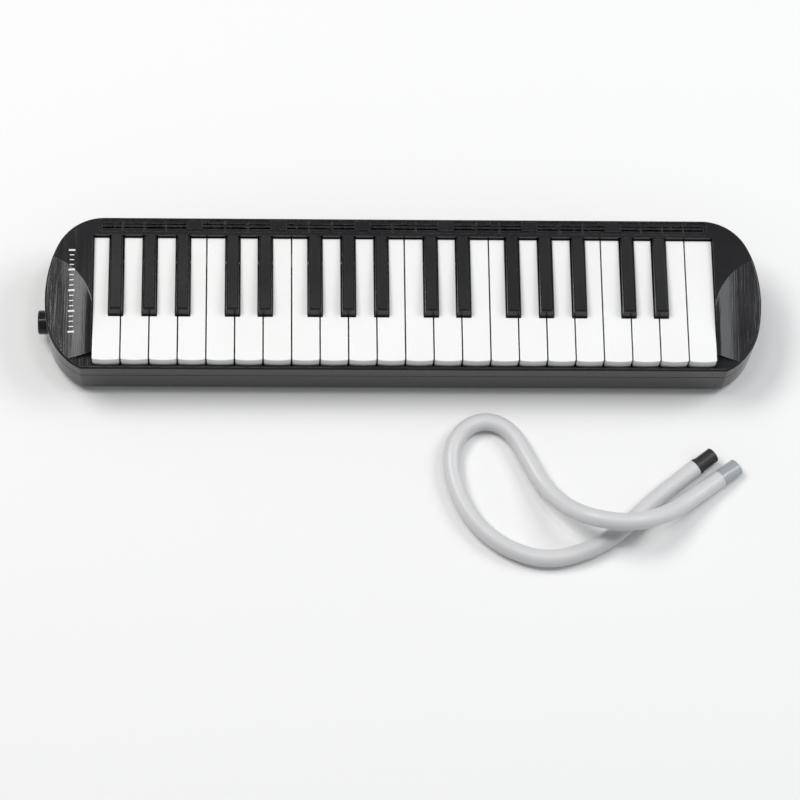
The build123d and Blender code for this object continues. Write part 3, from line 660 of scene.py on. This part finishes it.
@dataclass
class Hose:
    """The blowing hose, loose in front of the keyboard, with its two fittings."""

    radius: float = 5.25 * MM
    skin_gap: float = 0.05 * MM      # taken off the radius, so the hose clears what it meets
    length: float = 0.4256
    low: float = 5.3                 # height of the route on the floor, in millimetres
    hump: float = 26.25              # and where it crosses over itself
    ring_points: int = 8
    steps_between: int = 10
    fittings: Sequence[str] = ("hose_connector", "hose_mouthpiece")

    def route(self) -> list[Point]:
        """Lists the hose's control points.

        Returns:
            The points from its connector to its mouthpiece, in millimetres.
        """
        low, top = self.low, self.hump
        return [
            (176.4, -96.9, low), (163.0, -107.2, low), (148.2, -119.4, low),
            (131.0, -136.4, low), (111.0, -148.8, low), (88.0, -155.2, low),
            (65.6, -149.6, low), (47.0, -136.0, low), (35.6, -117.8, low), (30.4, -99.2, low),
            (31.2, -83.2, low), (39.8, -70.8, low), (54.2, -66.8, low), (67.6, -74.6, low),
            (76.2, -91.4, low), (84.4, -108.6, low + 2), (97.4, -125.6, low + 10),
            (115.0, -136.6, top), (137.0, -138.4, top), (157.6, -129.4, low + 10.5),
            (175.2, -115.6, low + 2), (190.8, -103.6, low),
        ]

    def tube(self) -> bpy.types.Object:
        """Makes the hose as one smooth curve.

        Returns:
            The curve object.
        """
        curve = bpy.data.curves.new("blowing_hose", "CURVE")
        curve.dimensions = "3D"
        spline = curve.splines.new("NURBS")
        route = self.route()
        spline.points.add(len(route) - 1)
        for point, (x, y, z) in zip(spline.points, route):
            point.co = (x * MM, y * MM, z * MM, 1.0)
        spline.order_u = 3
        spline.use_endpoint_u = True
        spline.use_smooth = True
        spline.resolution_u = self.steps_between
        curve.bevel_depth = self.radius - self.skin_gap
        curve.bevel_resolution = self.ring_points
        curve.use_fill_caps = True
        hose = bpy.data.objects.new("blowing_hose", curve)
        bpy.context.scene.collection.objects.link(hose)
        curve.materials.append(HOSE_SOFT.material())
        return hose

    def build(self) -> None:
        hose = self.tube()
        for name, finish in zip(self.fittings, (FITTING_BLACK, TIP_GREY)):
            dress_nodes([name], finish)
        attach(hose, Body.HOSE.value)
        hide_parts("hose_tube")


@dataclass
class Casing:
    """Covers, feet and cover screws."""

    covers: Sequence[str] = ("upper_cover", "lower_cover")

    def build(self) -> None:
        """Dresses the covers and what fastens and carries them."""
        count = dress_nodes(self.covers, CASE_BLACK)
        count += dress_nodes(["rubber_feet"], SOFT_BLACK)
        count += dress_nodes(["cover_screws"], SCREW_STEEL)
        log.info("casing: %d nodes", count)


@dataclass
class Keyboard:
    """The 22 white and 15 black keys, their shaft, brackets, springs and stop."""

    white_count: int = 22
    black_count: int = 15

    def build(self) -> None:
        """Dresses the keys and the parts of their action."""
        whites = [f"white_key_{number + 1:02d}" for number in range(self.white_count)]
        blacks = [f"black_key_{number + 1:02d}" for number in range(self.black_count)]
        count = dress_nodes(whites, KEY_WHITE) + dress_nodes(blacks, KEY_BLACK)
        count += dress_nodes(["key_shaft", "shaft_brackets", "key_springs"], STEEL)
        count += dress_nodes(["stop_rail"], INNER_PLASTIC) + dress_nodes(["stop_felt"], FELT_DARK)
        log.info("keyboard: %d nodes", count)


@dataclass
class ReedWorks:
    """The air chamber and the reeds in it."""

    mouldings: Sequence[str] = ("reed_block", "chamber_tray")

    def build(self) -> None:
        """Dresses the chamber, its gasket and the reeds."""
        count = dress_nodes(self.mouldings, INNER_PLASTIC)
        count += dress_nodes(["chamber_gasket"], SOFT_BLACK)
        count += dress_nodes(["reed_plates"], PLATE_METAL) + dress_nodes(["reeds"], REED_METAL)
        count += dress_nodes(["inner_screws"], SCREW_STEEL)
        log.info("reed works: %d nodes", count)


@dataclass
class AirWays:
    """The mouthpiece socket and the drain valve."""

    def build(self) -> None:
        """Dresses the socket, the valve and their seals."""
        count = dress_nodes(["mouthpiece_socket", "drain_button"], CASE_BLACK)
        count += dress_nodes(["socket_seal", "drain_seal"], SOFT_BLACK)
        count += dress_nodes(["drain_spring"], STEEL)
        log.info("air ways: %d nodes", count)


@dataclass
class CheekMark:
    """A plain printed scale of ticks up the left cheek."""

    end_inset: float = 15.8 * MM     # from the casing's left end
    rear_inset: float = 21.5 * MM    # from the casing's rear edge to the first tick
    pitch: float = 3.1 * MM
    ticks: int = 17
    group: int = 4                   # every so many ticks one is longer and bolder
    tick: tuple[float, float] = (2.6 * MM, 0.6 * MM)
    long_tick: tuple[float, float] = (3.8 * MM, 1.1 * MM)
    thickness: float = 0.05 * MM
    lift: float = 0.02 * MM
    cells: tuple[int, int] = (6, 3)  # of a tick's mesh, so that it follows the scoop

    def stroke(self, x: float, y: float, size: tuple[float, float]) -> bpy.types.Object:
        """Makes one tick over the cheek and lays it on the cover.

        Args:
            x: Its middle along X.
            y: Its middle along Y.
            size: Its width and depth.

        Returns:
            The tick.
        """
        deselect()
        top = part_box("upper_cover")[1][2]
        across, along = self.cells
        bpy.ops.mesh.primitive_grid_add(x_subdivisions=across, y_subdivisions=along, size=1.0,
                                        location=(x, y, top + MM))
        stroke = bpy.context.object
        stroke.scale = (*size, 1.0)
        settle(stroke)
        laid = stroke.modifiers.new("laid", "SHRINKWRAP")
        laid.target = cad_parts["upper_cover"]
        laid.wrap_method = "PROJECT"
        laid.use_project_z, laid.use_negative_direction = True, True
        laid.use_positive_direction = False
        laid.offset = self.lift
        ink = stroke.modifiers.new("ink", "SOLIDIFY")
        ink.thickness, ink.offset = self.thickness, 1.0
        apply_modifiers(stroke)
        return stroke

    def build(self) -> None:
        """Prints the ticks as one piece."""
        (left, _, _), (_, back, _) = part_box("upper_cover")
        made = []
        for number in range(self.ticks):
            size = self.tick if number % self.group else self.long_tick
            made.append(self.stroke(left + self.end_inset,
                                    back - self.rear_inset - number * self.pitch, size))
        choose(made)
        bpy.ops.object.join()
        mark = bpy.context.object
        mark.name = "cheek_mark"
        mark.data.materials.append(MARK_WHITE.material())
        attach(mark, Body.CASE.value)
        log.info("cheek mark: %d ticks", len(made))


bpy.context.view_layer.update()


def main() -> None:
    """Builds the studio and every sub-assembly."""
    logging.basicConfig(level=logging.INFO, format="%(name)s: %(message)s")
    for part in (Studio(), Hose(), Casing(), Keyboard(), ReedWorks(), AirWays(), CheekMark()):
        part.build()


if __name__ == "__main__":
    main()
